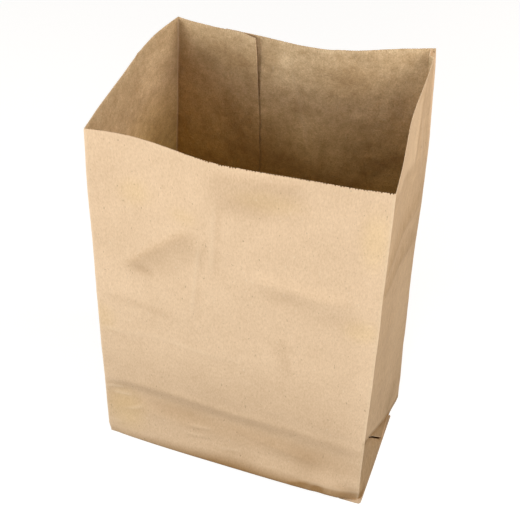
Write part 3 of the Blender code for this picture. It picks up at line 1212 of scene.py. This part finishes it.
def paper_materials():
    """Face, back and rim of the walls, then of the bottom flaps, then of the floor."""
    outer = {"mottle": 0.03, "lie": 0.4, "cockle": 0.6 * mm, "shade_name": "shade"}
    inner = {"mottle": 0.21, "lie": 0.9, "cockle": 1.4 * mm, "shade_name": "inner"}
    outside = kraft_material("kraft_outside", outside_colour, grain=0.1, **outer)
    # The flaps' paper is the outer paper in painted shade
    flap = kraft_material("kraft_flap_painted_shade", flap_shaded_colour, grain=0.13, **outer)
    inside = kraft_material("kraft_inside", inside_colour, grain=0.2, **inner)
    edge = cut_edge_material()
    return (outside, inside, edge) + (outside, flap, flap) + (outside, inside, outside)


def make_bag():
    """The one piece of the bag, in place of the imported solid."""
    bag = folded_sheet()
    for material in paper_materials():
        bag.data.materials.append(material)
    thickened(bag)
    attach(bag, "root")
    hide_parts("paper_bag")


# The floor as other light meets it and as it is seen, its own glow, and how it lies
floor_tones = ((0.12, 0.12, 0.12, 1), (0.35, 0.35, 0.35, 1))
floor_glow = 0.8
floor_reach = 3.0
floor_level = -0.1 * mm

# Strength and colour of the light from all round, and of the background that is seen
world_light = (0.17, (1.0, 0.93, 0.81, 1))
background = (1.0, white)


def seen_directly(tree):
    """One where the camera, a gloss or a clear surface looks, and nought for other light."""
    rays = tree.nodes.new("ShaderNodeLightPath")
    seen = rays.outputs["Is Camera Ray"]
    for name in ("Is Glossy Ray", "Is Transmission Ray"):
        either = tree.nodes.new("ShaderNodeMath")
        either.operation = "MAXIMUM"
        tree.links.new(seen, either.inputs[0])
        tree.links.new(rays.outputs[name], either.inputs[1])
        seen = either.outputs[0]
    return seen


def make_floor():
    """Pale floor that keeps the bag's shadow and meets a white background."""
    mesh = bmesh.new()
    bmesh.ops.create_grid(mesh, x_segments=1, y_segments=1, size=floor_reach)
    floor = added_mesh("floor", mesh)
    floor.location.z = floor_level
    n = Nodes("pale_floor")
    seen = seen_directly(n.tree)
    n.link(n.blend("MIX", seen, *floor_tones), n.shader.inputs["Base Color"])
    n.link(n.blend("MIX", seen, (0, 0, 0, 1), white), n.shader.inputs["Emission Color"])
    n.shader.inputs["Emission Strength"].default_value = floor_glow
    n.shader.inputs["Roughness"].default_value = 0.9
    n.shader.inputs["Specular IOR Level"].default_value = 0.1
    floor.data.materials.append(n.material)


def make_world():
    """Even light from all round, and white where the camera or a gloss sees the background."""
    world = bpy.data.worlds.new("studio")
    bpy.context.scene.world = world
    world.use_nodes = True
    tree = world.node_tree
    tree.nodes.clear()
    mix = tree.nodes.new("ShaderNodeMixShader")
    tree.links.new(seen_directly(tree), mix.inputs[0])
    for (strength, colour), socket in zip((world_light, background), mix.inputs[1:3]):
        light = tree.nodes.new("ShaderNodeBackground")
        light.inputs["Color"].default_value = colour
        light.inputs["Strength"].default_value = strength
        tree.links.new(light.outputs[0], socket)
    out = tree.nodes.new("ShaderNodeOutputWorld")
    tree.links.new(mix.outputs[0], out.inputs["Surface"])


def direction(azimuth, elevation):
    """Way from the bag's middle, in degrees to the right of the front and above the level."""
    a = math.radians(azimuth)
    e = math.radians(elevation)
    return Vector((math.sin(a) * math.cos(e), -math.cos(a) * math.cos(e), math.sin(e)))


# Soft lamps round the bag: name, azimuth and elevation in degrees, distance, size, power and colour
lamps = (
    ("key", 10, 10, 0.60, 0.30, 2.06, (1.0, 1.0, 1.0)),
    ("left", -50, 31, 0.56, 0.25, 1.40, (1.0, 0.99, 0.97)),
    ("right", 90, 45, 0.70, 0.40, 3.20, (1.0, 0.90, 0.82)),
)


def make_lights():
    """The lamps, all turned to the middle of the bag."""
    middle = Vector((0, 0, bag_height / 2))
    for name, azimuth, elevation, distance, size, power, colour in lamps:
        data = bpy.data.lights.new(name, "AREA")
        data.shape = "SQUARE"
        data.size = size
        data.energy = power
        data.color = colour
        lamp = added(name, data)
        lamp.location = middle + direction(azimuth, elevation) * distance
        lamp.rotation_mode = "QUATERNION"
        lamp.rotation_quaternion = (middle - lamp.location).to_track_quat("-Z", "Y")


# The photograph's view, solved from the bag's corners
view_azimuth = 18.278
view_elevation = 47.774
view_roll = 0.923
view_distance = 716.51 * mm
view_target = Vector((-0.26, 0.0, 116.66)) * mm + centre_shift
focal_pixels = 1500
picture_side = 520
sensor = 36


def make_camera():
    """Camera at the photograph's view, rolled a little about its line of sight."""
    back = direction(view_azimuth, view_elevation)
    level = (-back).cross(Vector((0, 0, 1))).normalized()
    upward = level.cross(-back)
    roll = math.radians(view_roll)
    right = math.cos(roll) * level + math.sin(roll) * upward
    up = math.cos(roll) * upward - math.sin(roll) * level
    data = bpy.data.cameras.new("camera")
    data.sensor_width = sensor
    data.lens = sensor * focal_pixels / picture_side
    data.clip_start = 0.05
    data.clip_end = 20
    camera = added("camera", data)
    place = view_target + back * view_distance
    camera.matrix_world = Matrix.Translation(place) @ Matrix((right, up, back)).transposed().to_4x4()
    bpy.context.scene.camera = camera


corners = make_corners()
make_bag()
make_floor()
make_world()
make_lights()
make_camera()
bpy.context.scene.view_settings.view_transform = "Standard"
